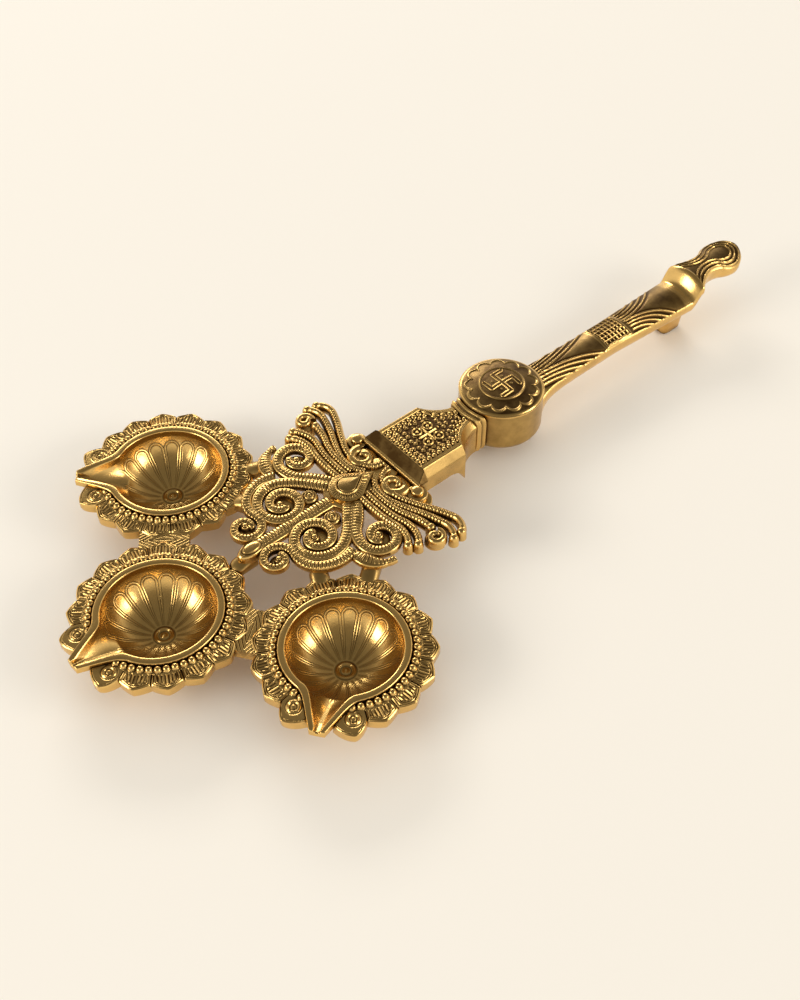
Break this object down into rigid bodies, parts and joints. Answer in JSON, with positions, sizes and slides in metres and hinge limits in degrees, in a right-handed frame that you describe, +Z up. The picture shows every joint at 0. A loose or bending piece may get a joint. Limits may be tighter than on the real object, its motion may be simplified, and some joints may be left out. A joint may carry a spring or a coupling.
{
  "type": "aarti lamp",
  "caption": "Hand-held brass oil lamp: spouted cups in petal borders on a scrolled bracket, with a shield, a medallion and a carved bar handle on a foot.",
  "frame": {"origin": "on the surface the lamp stands on, at the middle of its length and width", "axes": "+X along the lamp from the front cup to the handle's tip, +Z up; +Y is the left cup's side"},
  "size_m": [0.278, 0.1414, 0.0234],
  "materials": {
    "polished_brass": "smooth cast brass, hand polished",
    "antique_brass": "carved cast brass with dark patina in the recesses"
  },
  "bodies": {
    "root": {"front_cup": "polished_brass", "left_cup": "polished_brass", "right_cup": "polished_brass", "front_petal_border": "antique_brass", "left_petal_border": "antique_brass", "right_petal_border": "antique_brass", "scroll_bracket": "antique_brass", "leaf_boss": "antique_brass", "bracket_rivets": "polished_brass", "shield": "antique_brass", "neck_collar": "polished_brass", "medallion_hub": "polished_brass", "medallion": "antique_brass", "handle_bar": "antique_brass", "handle_foot": "polished_brass"}
  },
  "joints": []
}
